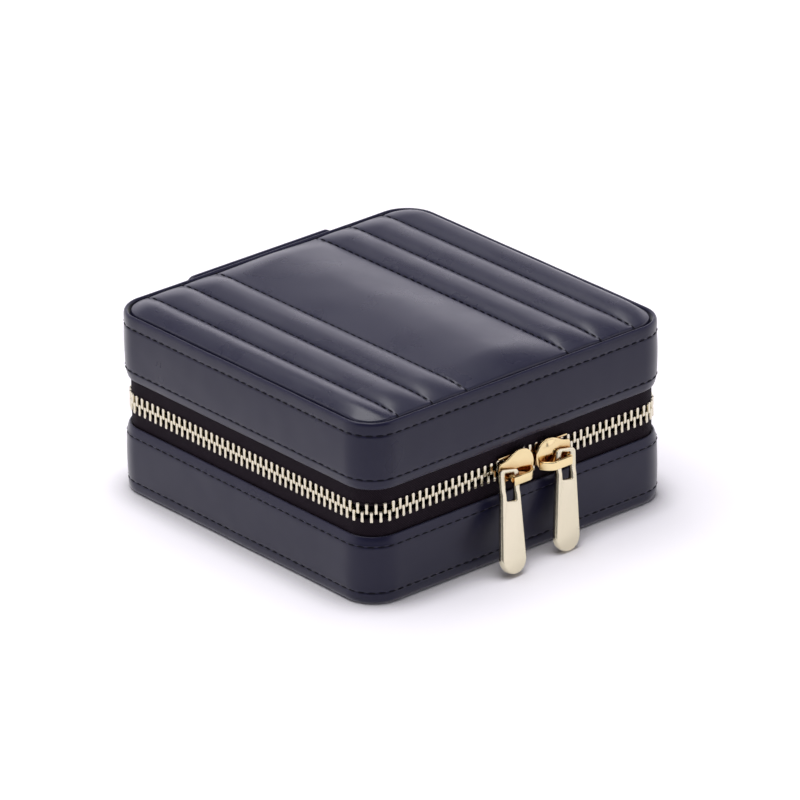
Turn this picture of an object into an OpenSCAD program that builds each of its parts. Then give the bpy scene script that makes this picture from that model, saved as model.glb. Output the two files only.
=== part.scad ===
// Square leather jewellery case with a quilted lid, a brass zip with two sliders, and a strap hinge.
// The origin is the centre of the underside. +Z is up, the zip pulls are at the front (-Y),
// and the hinge strap is at the back (+Y). All sizes are in millimetres.

/* [Case] */
// Outer width, left to right
case_w = 120; // [105:1:150]
// Outer depth, front to back
case_d = 120; // [105:1:150]
// Plan radius of the four upright corners
corner_r = 11; // [10.5:0.5:16]
// Height of the base band
base_h = 21.8; // [21.4:0.2:30]
// Height of the open band between base and lid, where the zip shows
zip_gap = 15.2; // [14.8:0.2:20]
// Height of the lid band, up to its rim
lid_h = 21.7; // [19:0.1:30]

/* [Leather] */
// Thickness of the leather
leather_t = 0.8; // [0.7:0.1:1.3]
// Height of the doubled hem along the zip
hem_h = 4; // [3:0.5:6]
// Radius of the rounded bottom edge and of the rim
edge_r = 1.8; // [1.6:0.1:2.4]
// How far the side leather is turned under the base
turn_under = 8; // [7:0.5:9.5]
// Width of the turned rim round the quilted top
rim_w = 3; // [2.6:0.1:4]
// Depth of the turned rim
rim_h = 3; // [2.6:0.1:4]

/* [Walls] */
// Thickness of the stiffening board
board_t = 2; // [1.5:0.1:3]
// Thickness of the velvet lining
lining_t = 0.8; // [0.5:0.1:1.2]
// Glue line left between layers
glue = 0.05; // [0.02:0.01:0.1]

/* [Quilted top] */
// Gap between the rim and the quilted cover
groove_w = 0.3; // [0.2:0.1:0.8]
// Width of the plain middle panel
mid_panel = 39.8; // [30:0.2:44]
// Spacing of the sewn channels beside it
seam_pitch = 13.3; // [11:0.1:15]
// Number of sewn lines on each side of the middle panel
side_seams = 3; // [1:1:3]
// Height of the sewn lines above the rim
seam_up = 0.9; // [0.4:0.1:2]
// Height of the padded channels above the sewn lines
puff_h = 1.3; // [0.6:0.1:2]
// Width over which the cover is drawn down at its edge
edge_roll = 4.5; // [3:0.5:8]
// Thickness of the foam slab under the cover
pad_foam_t = 2; // [1:0.5:4]

/* [Zip] */
// Thickness of the zip tape
tape_t = 0.6; // [0.4:0.1:0.8]
// Length of tape sewn under the leather
tape_tail = 5; // [4.5:0.5:8]
// Tooth pitch along one row
tooth_pitch = 2.54; // [2.4:0.02:3]
// Width of a tooth along the chain
tooth_w = 1.1; // [0.9:0.05:1.15]
// Thickness of a tooth, front to back
tooth_t = 2.6; // [2.2:0.1:2.8]
// Half width of the closed chain
chain_half = 3.1; // [2.8:0.1:3.2]
// How far a tooth reaches past the middle of the chain
tooth_past = 0.45; // [0.3:0.05:0.45]
// Free width at the back, between the ends of the zip
zip_end_gap = 48; // [40:1:50]

/* [Sliders] */
// Where the two sliders meet, right of the middle
meet_x = 4.4; // [-10:0.1:10]
// Gap between the two slider noses
nose_gap = 0.9; // [0.4:0.1:2]
// Length of a slider body
slider_l = 13.5; // [13:0.1:14.5]
// Half width of a slider at its nose
nose_half = 5.3; // [5.2:0.1:5.8]
// Half width of a slider at its tail
tail_half = 4.1; // [3.9:0.1:4.4]
// Thickness of a slider plate
plate_t = 1.1; // [0.8:0.1:1.3]
// Height of the gap under the bridge
bridge_gap = 2.7; // [2.7:0.1:4]
// Thickness of the bridge bar
bridge_t = 1; // [0.8:0.1:1.6]
// Height of the bridge bar
bridge_h = 3; // [2.4:0.1:3]
// How far the bridge sits below the middle of the chain
bridge_drop = 1.8; // [0:0.1:1.8]
// Diameter of the round post that carries the pull tab
post_d = 2; // [1.8:0.1:2.2]

/* [Pull tabs] */
// Distance from the post to the tip of a tab
tab_reach = 27.5; // [22:0.5:27.5]
// Half width of a tab at its top
tab_top_half = 3.9; // [3.6:0.1:4.2]
// Radius of the round lower end
tab_end_r = 5; // [4.4:0.1:5.2]
// Thickness of a tab
tab_t = 2; // [1.6:0.1:2.2]
// Thickness of a tab at its eye
eye_t = 1.2; // [0.9:0.1:1.2]
// Width of the eye
eye_w = 3.6; // [3.4:0.1:4.2]
// Length of the eye below the post
eye_drop = 6.8; // [5:0.2:9]
// Height of the bar above the eye
eye_bar = 1.2; // [1:0.1:1.2]
// Sideways lean of the left tab
left_lean = 11; // [0:0.5:15]
// Outward splay of the left tab
left_splay = 15; // [8:0.5:16]
// Sideways lean of the right tab
right_lean = 8.5; // [0:0.5:10]
// Outward splay of the right tab
right_splay = 9; // [8:0.5:16]

/* [Hinge strap] */
// Width of the strap at the back
strap_w = 59; // [52:1:64]
// Thickness of the strap
strap_t = 1.6; // [1:0.1:2.4]
// Height of the strap's lower edge
strap_z = 5; // [3:0.5:10]
// Corner radius of the strap
strap_r = 4; // [1:0.5:8]

/* [Inside] */
// Thickness of the dividers
divider_t = 2.4; // [1.6:0.2:4]
// Height of the dividers and the ring rolls above the tray floor
tray_fill_h = 15; // [13:0.5:15]
// Number of ring rolls
ring_rolls = 6; // [4:1:8]
// Play round each loose tray piece
tray_play = 0.2; // [0.1:0.05:0.4]
// Side of the square mirror
mirror_w = 88; // [60:1:90]
// Thickness of the mirror
mirror_t = 1.8; // [1:0.1:3]
// Corner radius of the mirror
mirror_r = 6; // [2:0.5:12]

/* [Hidden] */
$fn = 64;
// Distances in from the outer face of the case to each layer of the wall
hem_in = 2 * leather_t;
tape_in = hem_in + glue;
board_in = tape_in + tape_t + glue;
lining_in = board_in + board_t + glue;
room_in = lining_in + lining_t;
tape_mid = tape_in + tape_t / 2;
// Heights of the levels
floor_z = leather_t + glue + board_t + glue + lining_t;
chain_z = base_h + zip_gap / 2;
lid_z = base_h + zip_gap;
rim_z = lid_z + lid_h;
board_step = 0.6;
lid_plate_z = rim_z - rim_h - glue - board_t;
ceiling_z = lid_plate_z - glue - lining_t;
foam_z = lid_plate_z + board_t + glue;
quilt_z = foam_z + pad_foam_t + glue;
cover_edge = 0.7;
quilt_edge_z = quilt_z + cover_edge;
quilt_seam_z = rim_z + seam_up;
quilt_in = rim_w + groove_w;
// Straight half lengths of the plan and the zip's path along it
run_x = case_w / 2 - corner_r;
run_y = case_d / 2 - corner_r;
path_r = corner_r - tape_mid;
quarter = PI / 2 * path_r;
front_y = -(case_d / 2 - tape_mid);
zip_half = run_x + quarter + 2 * run_y + quarter + run_x - zip_end_gap / 2;
// Clearances inside the slider and the amount by which the open rows stand apart
slider_play = 0.2;
diamond_half = 0.8;
tape_play = 0.3;
slot_half = tape_t / 2 + tape_play;
row_open = tooth_past + diamond_half + slider_play / 2;
open_u = 6;
shut_u = 11.5;
clamp_h = 1;
tape_edge = chain_half - clamp_h;
channel_half = tooth_t / 2 + slider_play;
plate_y = front_y - channel_half - plate_t;
nose_u = nose_gap / 2;
tail_u = nose_u + slider_l;
post_back = 2.75;
post_u = tail_u - post_back;
// Share of the gap under the bridge that lies behind the tab
tab_share = 0.53;
tab_y = plate_y - bridge_gap * tab_share;
tab_z = chain_z - bridge_drop;
eye_play = 0.2;
eye_shift = eye_w / 2 - post_d / 2 - eye_play;
most_splay = max(left_splay, right_splay);
eye_rise = (post_d / 2 + eye_t / 2 * sin(most_splay)) / cos(most_splay) + eye_play / 2;
// Tray
room_x = case_w / 2 - room_in;
room_y = case_d / 2 - room_in;
roll_pitch = 2 * room_y / ring_rolls;
divider_x = -divider_t / 2;
stop_w = 2;

// Plan of the case, drawn in from its outer face by the given distance
module plan(inset) {
    r = corner_r - inset;
    square([case_w - 2 * inset, 2 * run_y], center = true);
    square([2 * run_x, case_d - 2 * inset], center = true);
    for (x = [-run_x, run_x], y = [-run_y, run_y])
        translate([x, y])
            circle(r);
}

// Carries a wall section once round the plan. In the section, x is the distance in from the
// outer face and y is the height.
module round_the_case() {
    centres = [[run_x, run_y], [-run_x, run_y], [-run_x, -run_y], [run_x, -run_y]];
    for (q = [0:3])
        translate(centres[q])
            rotate(90 * q)
                rotate_extrude(angle = 90)
                    translate([corner_r, 0])
                        mirror([1, 0])
                            children();
    for (turn = [0, 180])
        rotate(turn)
            rotate([90, 0, 0])
                linear_extrude(2 * run_y, center = true)
                    translate([case_w / 2, 0])
                        mirror([1, 0])
                            children();
    for (turn = [90, 270])
        rotate(turn)
            rotate([90, 0, 0])
                linear_extrude(2 * run_x, center = true)
                    translate([case_d / 2, 0])
                        mirror([1, 0])
                            children();
}

// A rectangle of a wall section, from one inset and height to another
module strip(in0, z0, in1, z1) {
    translate([in0, z0])
        square([in1 - in0, z1 - z0]);
}

// A convex outline round the given corner centres, listed counter-clockwise
function outward(a, b) = let (d = b - a) [d[1], -d[0]] / norm(d);
module soft_outline(centres, r) {
    count = len(centres);
    polygon([for (i = [0:count - 1], k = [0, 1])
        centres[(i + k) % count] + r * outward(centres[i], centres[(i + 1) % count])]);
    for (c = centres)
        translate(c)
            circle(r);
}

// An outline standing upright, seen from the front, thickened towards the back from y = 0
module upright(t) {
    translate([0, t, 0])
        rotate([90, 0, 0])
            linear_extrude(t)
                children();
}

// Base: leather, board, padding and lining

module base_bottom_leather() {
    color("#1d1c28")
        linear_extrude(leather_t)
            plan(turn_under + groove_w);
}

module base_board() {
    color("#8b7b63") {
        translate([0, 0, leather_t + glue])
            linear_extrude(board_t)
                plan(board_in);
        round_the_case()
            strip(board_in, leather_t + glue, board_in + board_t, base_h - board_step - lining_t);
    }
}

module base_side_padding() {
    color("#c9c4b4")
        round_the_case()
            strip(leather_t + glue, edge_r + glue, board_in - glue, base_h - tape_tail - glue);
}

module base_side_leather() {
    color("#23222f")
        round_the_case() {
            strip(0, edge_r, leather_t, base_h - leather_t);
            strip(edge_r, 0, turn_under, leather_t);
            intersection() {
                strip(0, 0, edge_r, edge_r);
                translate([edge_r, edge_r])
                    difference() {
                        circle(edge_r);
                        circle(edge_r - leather_t);
                    }
            }
            strip(leather_t, base_h - hem_h, hem_in, base_h - leather_t);
            translate([leather_t, base_h - leather_t])
                circle(leather_t);
        }
}

module base_lining() {
    color("#4a4250") {
        translate([0, 0, floor_z - lining_t])
            linear_extrude(lining_t)
                plan(lining_in);
        round_the_case() {
            strip(lining_in, floor_z - lining_t, room_in, base_h - board_step);
            strip(board_in, base_h - board_step - lining_t + glue, room_in, base_h - board_step);
        }
    }
}

// Tray: two dividers and a row of ring rolls on the left

module long_divider() {
    color("#4a4250")
        translate([divider_x, -room_y + tray_play, floor_z])
            cube([divider_t, 2 * (room_y - tray_play), tray_fill_h]);
}

module cross_divider() {
    start = divider_x + divider_t + tray_play;
    color("#4a4250")
        translate([start, -divider_t / 2, floor_z])
            cube([room_x - tray_play - start, divider_t, tray_fill_h]);
}

module ring_roll(i) {
    half = roll_pitch / 2 - tray_play;
    start = -room_x + tray_play;
    length = divider_x - tray_play - start;
    color("#5a5060")
        intersection() {
            translate([start, -room_y + (i - 0.5) * roll_pitch, floor_z])
                rotate([90, 0, 90])
                    linear_extrude(length)
                        intersection() {
                            translate([-half, 0])
                                square([2 * half, tray_fill_h]);
                            union() {
                                translate([-half, 0])
                                    square([2 * half, tray_fill_h - half]);
                                translate([0, tray_fill_h - half])
                                    circle(half);
                            }
                        }
            translate([0, 0, floor_z])
                linear_extrude(tray_fill_h)
                    plan(room_in + tray_play);
        }
}

// Zip: tapes, toothed rows and end stops

// Place and heading of the zip at a distance from the middle of the front, going right
function path_right(s) =
    let (a = s - run_x, b = a - quarter, c = b - 2 * run_y, d = c - quarter)
    a < 0 ? [s, front_y, 0] :
    b < 0 ? on_corner(-run_y, a / path_r * 180 / PI) :
    c < 0 ? [run_x + path_r, b - run_y, 90] :
    d < 0 ? on_corner(run_y, 90 + c / path_r * 180 / PI) :
    [run_x - d, -front_y, 180];
function on_corner(y, heading) =
    [run_x + path_r * sin(heading), y - path_r * cos(heading), heading];
function zip_path(s) =
    let (p = path_right(abs(s)))
    s < 0 ? [-p[0], p[1], -p[2]] : p;

// How far a row stands off the middle of the chain because the sliders hold it open
function row_shift(s) =
    row_open * max(0, min(1, (shut_u - abs(s - meet_x)) / (shut_u - open_u)));

// A tooth of the lower row, clamped over the edge of the tape
web_gap = 0.2;
module tooth() {
    half = tooth_t / 2;
    leg = tape_t / 2 + glue;
    web = -tape_edge + web_gap;
    rotate([90, 0, 90])
        linear_extrude(tooth_w, center = true)
            polygon([[-half, -chain_half], [-leg, -chain_half], [-leg, web], [leg, web],
                     [leg, -chain_half], [half, -chain_half], [half, tooth_past], [-half, tooth_past]]);
}

// One row of teeth. The two rows are half a pitch out of step.
module tooth_row(side, step) {
    last = floor((zip_half - stop_w) / tooth_pitch - 0.5);
    for (i = [-last:last]) {
        s = (i + step) * tooth_pitch;
        p = zip_path(s);
        translate([p[0], p[1], chain_z + side * row_shift(s)])
            rotate(p[2])
                mirror([0, 0, side > 0 ? 1 : 0])
                    tooth();
    }
}

// Outline of the stretch of chain that the sliders hold open, seen from the front
module open_stretch(edge) {
    wide = edge + row_open;
    polygon([[meet_x - shut_u, edge], [meet_x - open_u, wide], [meet_x + open_u, wide],
             [meet_x + shut_u, edge], [meet_x + shut_u, -edge], [meet_x + open_u, -wide],
             [meet_x - open_u, -wide], [meet_x - shut_u, -edge]]);
}

module zip_tape(z0, z1) {
    color("#1c1820")
        difference() {
            round_the_case()
                strip(tape_in, z0, tape_in + tape_t, z1);
            translate([-zip_end_gap / 2, 0, z0 - 1])
                cube([zip_end_gap, case_d, z1 - z0 + 2]);
            translate([0, -case_d / 2, chain_z])
                upright(room_in)
                    open_stretch(tape_edge);
        }
}

module lower_zip_tape() {
    zip_tape(base_h - tape_tail, chain_z - tape_edge);
}

module upper_zip_tape() {
    zip_tape(chain_z + tape_edge, lid_z + tape_tail);
}

module lower_zip_teeth() {
    color("#d8bd8a")
        tooth_row(-1, 0);
}

module upper_zip_teeth() {
    color("#d8bd8a")
        tooth_row(1, 0.5);
}

// The two stops at the ends of one row, each clamped over the edge of its tape
module zip_stops(side) {
    half = tooth_t / 2;
    leg = tape_t / 2 + glue;
    web = -tape_edge + web_gap;
    color("#d8bd8a")
        for (s = [-zip_half + stop_w / 2, zip_half - stop_w / 2]) {
            p = zip_path(s);
            translate([p[0], p[1], chain_z])
                rotate(p[2])
                    mirror([0, 0, side > 0 ? 1 : 0])
                        rotate([90, 0, 90])
                            linear_extrude(stop_w, center = true)
                                polygon([[-half, -chain_half], [-leg, -chain_half], [-leg, web],
                                         [leg, web], [leg, -chain_half], [half, -chain_half],
                                         [half, -glue], [-half, -glue]]);
        }
}

// Hinge strap sewn to the back of the base and the lid

module back_hinge_strap() {
    x = strap_w / 2 - strap_r;
    color("#23222f")
        translate([0, case_d / 2 + glue, 0])
            upright(strap_t)
                soft_outline([[-x, strap_z + strap_r], [x, strap_z + strap_r],
                              [x, rim_z - strap_r], [-x, rim_z - strap_r]], strap_r);
}

// Lid: board, padding, leather, quilted top, lining and mirror

module lid_board() {
    color("#8b7b63") {
        translate([0, 0, lid_plate_z])
            linear_extrude(board_t)
                plan(board_in);
        round_the_case()
            strip(board_in, lid_z + board_step + lining_t, board_in + board_t, lid_plate_z + board_t);
    }
}

module lid_side_padding() {
    color("#c9c4b4")
        round_the_case()
            strip(leather_t + glue, lid_z + tape_tail + glue, board_in - glue, rim_z - rim_h - glue);
}

module lid_side_leather() {
    color("#23222f")
        round_the_case() {
            strip(0, lid_z + leather_t, leather_t, rim_z - rim_h);
            strip(leather_t, lid_z + leather_t, hem_in, lid_z + hem_h);
            translate([leather_t, lid_z + leather_t])
                circle(leather_t);
            strip(0, rim_z - rim_h, rim_w, rim_z - edge_r);
            strip(edge_r, rim_z - edge_r, rim_w, rim_z);
            translate([edge_r, rim_z - edge_r])
                intersection() {
                    circle(edge_r);
                    translate([-edge_r, 0])
                        square(edge_r);
                }
        }
}

module lid_pad_foam() {
    color("#c9c4b4")
        translate([0, 0, foam_z])
            linear_extrude(pad_foam_t)
                plan(quilt_in);
}

// Sewn lines, from the left edge of the cover to its right edge
quilt_w = case_w / 2 - quilt_in;
right_seams = [for (k = [0:side_seams - 1]) mid_panel / 2 + k * seam_pitch];
left_seams = [for (k = [side_seams - 1:-1:0]) -right_seams[k]];
quilt_lines = concat([-quilt_w], left_seams, right_seams, [quilt_w]);

// Steps across a panel, close together beside the sewn lines
near_step = 0.7;
mid_step = 2.4;
function panel_steps(w) =
    [0, near_step / w, mid_step / w, 0.38, 0.62, 1 - mid_step / w, 1 - near_step / w];
// Each column across the cover has its place and the share of the puff that it has there
quilt_columns = concat(
    [for (p = [0:len(quilt_lines) - 2])
        let (w = quilt_lines[p + 1] - quilt_lines[p])
        for (t = panel_steps(w))
            [quilt_lines[p] + t * w, sqrt(1 - pow(abs(2 * t - 1), 2 * w / seam_pitch))]],
    [[quilt_w, 0]]);

// The cover is drawn down to its edge in a quarter round
function drawn_in(d) = sqrt(1 - pow(1 - min(d, edge_roll) / edge_roll, 2));
function half_depth(x) =
    let (past = max(0, abs(x) - run_x), r = corner_r - quilt_in)
    run_y + sqrt(max(0, r * r - past * past));
edge_steps = [0, 0.09, 0.26, 0.56, 1];
function quilt_rows(half) = concat(
    [for (e = edge_steps) -half + e * edge_roll],
    [for (t = [-0.5, 0, 0.5]) t * (half - edge_roll)],
    [for (k = [len(edge_steps) - 1:-1:0]) half - edge_steps[k] * edge_roll]);
function quilt_height(x, puff, d) =
    quilt_edge_z + (quilt_seam_z - quilt_edge_z + puff_h * puff)
    * drawn_in(d) * drawn_in(quilt_w - abs(x));
function quilt_section(column) =
    let (x = column[0], half = half_depth(x))
    concat([[x, -half, quilt_z]],
           [for (y = quilt_rows(half)) [x, y, quilt_height(x, column[1], half - abs(y))]],
           [[x, half, quilt_z]]);

module lid_quilted_top() {
    sections = [for (c = quilt_columns) quilt_section(c)];
    ring = len(sections[0]);
    last = len(sections) - 1;
    points = [for (s = sections) for (p = s) p];
    walls = [for (i = [0:last - 1], k = [0:ring - 1])
        let (a = i * ring + k, b = i * ring + (k + 1) % ring)
        for (f = [[a, b, b + ring], [a, b + ring, a + ring]]) f];
    left_end = [for (k = [1:ring - 2]) [0, k + 1, k]];
    right_end = [for (k = [1:ring - 2]) [last * ring, last * ring + k, last * ring + k + 1]];
    color("#2a2936")
        polyhedron(points, concat(walls, left_end, right_end));
}

module lid_lining() {
    color("#4a4250") {
        translate([0, 0, ceiling_z])
            linear_extrude(lining_t)
                plan(lining_in);
        round_the_case() {
            strip(lining_in, lid_z + board_step, room_in, ceiling_z + lining_t);
            strip(board_in, lid_z + board_step, room_in, lid_z + board_step + lining_t - glue);
        }
    }
}

module lid_mirror() {
    side = mirror_w / 2 - mirror_r;
    color("#cfd6da")
        translate([0, 0, ceiling_z - glue - mirror_t])
            linear_extrude(mirror_t)
                soft_outline([[-side, -side], [side, -side], [side, side], [-side, side]], mirror_r);
}

// Sliders. They are drawn for the right side, with the nose at the meeting line.

module on_side(side) {
    translate([meet_x, 0, chain_z])
        mirror([side < 0 ? 1 : 0, 0, 0])
            children();
}

// Outline of a slider plate, seen from the front
nose_r = 2.2;
tail_r = 1.2;
shoulder = 5.6;
shoulder_u = nose_u + shoulder;
module slider_outline() {
    wide = nose_half - nose_r;
    soft_outline([[nose_u + nose_r, -wide], [shoulder_u, -wide], [shoulder_u, wide],
                  [nose_u + nose_r, wide]], nose_r);
    polygon([[shoulder_u, -nose_half], [tail_u - tail_r, -tail_half], [tail_u - tail_r, tail_half],
             [shoulder_u, nose_half]]);
    narrow = tail_half - tail_r;
    soft_outline([[shoulder_u, -narrow], [tail_u - tail_r, -narrow],
                  [tail_u - tail_r, narrow], [shoulder_u, narrow]], tail_r);
}

// The way for the teeth between the two rails of a slider
rail_t = 0.6;
module slider_way() {
    past = 1;
    wide = nose_half - rail_t;
    narrow = tail_half - rail_t;
    polygon([[nose_u - past, -wide], [shoulder_u, -wide], [tail_u, -narrow], [tail_u + past, -narrow],
             [tail_u + past, narrow], [tail_u, narrow], [shoulder_u, wide], [nose_u - past, wide]]);
}

// The wedge between the plates that parts the two rows
diamond_from = nose_u + 0.6;
diamond_full = nose_u + 4.6;
diamond_tip = nose_u + 7.2;
module slider_body(side) {
    rail = channel_half - slot_half;
    color("#d8bd8a")
        on_side(side) {
            for (y = [plate_y, front_y + channel_half])
                translate([0, y, 0])
                    upright(plate_t)
                        slider_outline();
            for (y = [front_y - channel_half, front_y + slot_half])
                translate([0, y, 0])
                    upright(rail)
                        difference() {
                            slider_outline();
                            slider_way();
                        }
            translate([0, front_y - channel_half, 0])
                upright(2 * channel_half)
                    polygon([[diamond_from, -diamond_half], [diamond_full, -diamond_half],
                             [diamond_tip, 0], [diamond_full, diamond_half],
                             [diamond_from, diamond_half]]);
        }
}

// Bridge over the slider: a bar, a leg at the nose and the round post for the pull tab
module slider_bridge(side) {
    leg_u = nose_u + 1.2;
    leg_w = 1.6;
    bend = 1;
    low = plate_y - bridge_gap - bridge_t + bend;
    high = plate_y - bridge_gap - bend;
    color("#d8bd8a")
        on_side(side) {
            translate([0, 0, -bridge_drop - bridge_h / 2])
                linear_extrude(bridge_h) {
                    translate([leg_u, low])
                        square([leg_w, plate_y - low]);
                    translate([leg_u + bend, low - bend])
                        square([post_u + post_d / 2 - leg_u - 2 * bend, bridge_t]);
                    translate([leg_u + bend, low])
                        circle(bend);
                    translate([post_u + post_d / 2 - bend, low])
                        intersection() {
                            circle(bend);
                            translate([0, -bend])
                                square([bend, bridge_t]);
                        }
                }
            translate([post_u, plate_y, -bridge_drop])
                rotate([90, 0, 0])
                    cylinder(h = bridge_gap + bridge_t / 2, d = post_d);
        }
}

// Pull tab, hung by its eye on the round post. It is thinner at the eye.
module tab_eye() {
    top = eye_rise + eye_bar;
    round_r = 1;
    difference() {
        soft_outline([[-tab_top_half + round_r, -eye_drop], [tab_top_half - round_r, -eye_drop],
                      [tab_top_half - round_r, top - round_r],
                      [-tab_top_half + round_r, top - round_r]], round_r);
        translate([-eye_w / 2, -eye_drop])
            square([eye_w, eye_drop + eye_rise]);
        translate([-tab_top_half, -eye_drop - round_r])
            square([2 * tab_top_half, round_r]);
    }
}

module tab_blade() {
    end = tab_end_r - tab_reach;
    polygon([[-tab_end_r, end], [tab_end_r, end], [tab_top_half, -eye_drop],
             [-tab_top_half, -eye_drop]]);
    translate([0, end])
        circle(tab_end_r);
}

module pull_tab(side, lean, splay) {
    color("#d8bd8a")
        translate([meet_x + side * post_u, tab_y, tab_z])
            rotate([0, lean, 0])
                rotate([-splay, 0, 0])
                    translate([-eye_shift, 0, 0]) {
                        translate([0, -eye_t / 2, 0])
                            upright(eye_t)
                                tab_eye();
                        translate([0, -tab_t / 2, 0])
                            upright(tab_t)
                                tab_blade();
                    }
}

base_bottom_leather();
base_board();
base_side_padding();
base_side_leather();
base_lining();
long_divider();
cross_divider();
for (i = [1:ring_rolls])
    ring_roll(i);
lower_zip_tape();
lower_zip_teeth();
zip_stops(-1);  // lower_zip_stops
back_hinge_strap();
lid_board();
lid_side_padding();
lid_side_leather();
lid_pad_foam();
lid_quilted_top();
lid_lining();
lid_mirror();
upper_zip_tape();
upper_zip_teeth();
zip_stops(1);  // upper_zip_stops
slider_body(-1);  // left_slider_body
slider_bridge(-1);  // left_slider_bridge
pull_tab(-1, left_lean, left_splay);  // left_pull_tab
slider_body(1);  // right_slider_body
slider_bridge(1);  // right_slider_bridge
pull_tab(1, right_lean, right_splay);  // right_pull_tab
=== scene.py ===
import math

import bmesh
import bpy
import numpy as np
from mathutils import Matrix, Vector, noise


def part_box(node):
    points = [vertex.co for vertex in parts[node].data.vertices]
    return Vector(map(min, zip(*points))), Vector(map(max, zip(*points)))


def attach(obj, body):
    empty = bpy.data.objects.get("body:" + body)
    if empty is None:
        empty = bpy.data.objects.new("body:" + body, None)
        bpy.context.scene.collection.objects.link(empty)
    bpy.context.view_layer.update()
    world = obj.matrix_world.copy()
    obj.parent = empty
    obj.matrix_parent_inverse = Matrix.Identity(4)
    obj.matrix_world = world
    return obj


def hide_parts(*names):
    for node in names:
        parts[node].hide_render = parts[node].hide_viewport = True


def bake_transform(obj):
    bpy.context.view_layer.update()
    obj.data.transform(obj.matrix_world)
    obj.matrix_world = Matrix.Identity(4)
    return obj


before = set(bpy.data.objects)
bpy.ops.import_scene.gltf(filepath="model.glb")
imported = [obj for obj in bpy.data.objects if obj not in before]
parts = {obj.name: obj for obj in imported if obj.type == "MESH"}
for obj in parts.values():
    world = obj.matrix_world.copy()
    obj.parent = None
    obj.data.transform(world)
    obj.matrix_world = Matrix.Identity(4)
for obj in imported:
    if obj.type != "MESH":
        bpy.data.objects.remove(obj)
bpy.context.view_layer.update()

# Stiffening boards: two shallow trays of pressed grey board, one in the base and one in the lid.
# They are die cut, folded and glued, and all the covers of the case are glued over them.
# Sizes are in millimetres, and this turns them into the scene's metres
MM = 0.001


def linear(hex_colour):
    """An sRGB hex colour as the linear values that a shader takes."""
    shares = [int(hex_colour[i:i + 2], 16) / 255 for i in (1, 3, 5)]
    return [s / 12.92 if s <= 0.04045 else ((s + 0.055) / 1.055) ** 2.4 for s in shares] + [1]


def add_node(tree, kind, inputs=None, **settings):
    """A node with its settings. An input is a value, or the output socket that feeds it."""
    made = tree.nodes.new(kind)
    for name, value in settings.items():
        setattr(made, name, value)
    for name, value in (inputs or {}).items():
        if isinstance(value, bpy.types.NodeSocket):
            tree.links.new(value, made.inputs[name])
        else:
            made.inputs[name].default_value = value
    return made


def new_finish(name, looks):
    """A material with one surface shader; looks are the values of its sockets."""
    finish = bpy.data.materials.new(name)
    finish.use_nodes = True
    tree = finish.node_tree
    tree.nodes.clear()
    surface = add_node(tree, "ShaderNodeBsdfPrincipled", looks)
    add_node(tree, "ShaderNodeOutputMaterial", {"Surface": surface.outputs[0]})
    return finish, tree, surface


def paint(node_name, finish):
    """Gives a solid of the frame its finish."""
    solid = parts[node_name]
    solid.data.materials.clear()
    solid.data.materials.append(finish)


# Pressed paper pulp: to the eye a flat grey, clouded by its fibres, with no shine
board_fibre = 1.11
greyboard, tree, surface = new_finish("grey pressed board", {"Roughness": 0.9})
place = add_node(tree, "ShaderNodeTexCoord").outputs["Object"]
fibre = add_node(tree, "ShaderNodeTexNoise", {"Vector": place, "Scale": 1 / (board_fibre * MM), "Detail": 4})
tint = add_node(tree, "ShaderNodeValToRGB", {"Fac": fibre.outputs["Fac"]})
tint.color_ramp.elements[0].color = linear("#8f8b84")
tint.color_ramp.elements[1].color = linear("#b9b4aa")
tree.links.new(tint.outputs["Color"], surface.inputs["Base Color"])
for board in ("base_board", "lid_board"):
    paint(board, greyboard)

# Base wall: one long strip of navy leather over thin foam, sewn near both edges.
# Its lower edge is turned under the board, and its upper edge is folded in with the zip tape sewn behind it.
case_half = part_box("base_side_leather")[1].x / MM
base_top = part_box("base_side_leather")[1].z / MM
corner_r = 11.0
side_step = 1.6
corner_steps = 16
# Heights of the two sewn lines on the base
base_seams = (3.9, 18.8)
board_in = 2.25
turn_under = 7.95
# The grain of smooth leather is too fine for the render, so it is drawn as coarse as it needs to show
leather_grain, grain_depth = 0.55, 0.02
worn_patch = 14.3
soft_dent, dent_depth = 16.7, 0.25


def leather(name, colour, rough, shine, bloom=0.0):
    """Drum-dyed leather with a pebbled grain, shallow dents and, where it is waxed, a pale bloom."""
    finish, tree, surface = new_finish(name, {
        "Base Color": linear(colour), "Specular IOR Level": shine, "Sheen Weight": bloom, "Sheen Roughness": 0.35})
    place = add_node(tree, "ShaderNodeTexCoord").outputs["Object"]
    cloud = add_node(tree, "ShaderNodeTexNoise", {"Vector": place, "Scale": 1 / (worn_patch * MM), "Detail": 3})
    wear = add_node(tree, "ShaderNodeMapRange", {
        "Value": cloud.outputs["Fac"], "From Min": 0.3, "From Max": 0.7,
        "To Min": rough - 0.04, "To Max": rough + 0.05})
    tree.links.new(wear.outputs["Result"], surface.inputs["Roughness"])
    pebble = add_node(tree, "ShaderNodeTexVoronoi", {"Vector": place, "Scale": 1 / (leather_grain * MM)})
    dent = add_node(tree, "ShaderNodeTexNoise", {"Vector": place, "Scale": 1 / (soft_dent * MM), "Detail": 1})
    soft = add_node(tree, "ShaderNodeBump", {
        "Height": dent.outputs["Fac"], "Strength": 0.3, "Distance": dent_depth * MM})
    fine = add_node(tree, "ShaderNodeBump", {
        "Height": pebble.outputs["Distance"], "Strength": 0.06, "Distance": grain_depth * MM,
        "Normal": soft.outputs["Normal"]})
    tree.links.new(fine.outputs["Normal"], surface.inputs["Normal"])
    return finish


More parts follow.
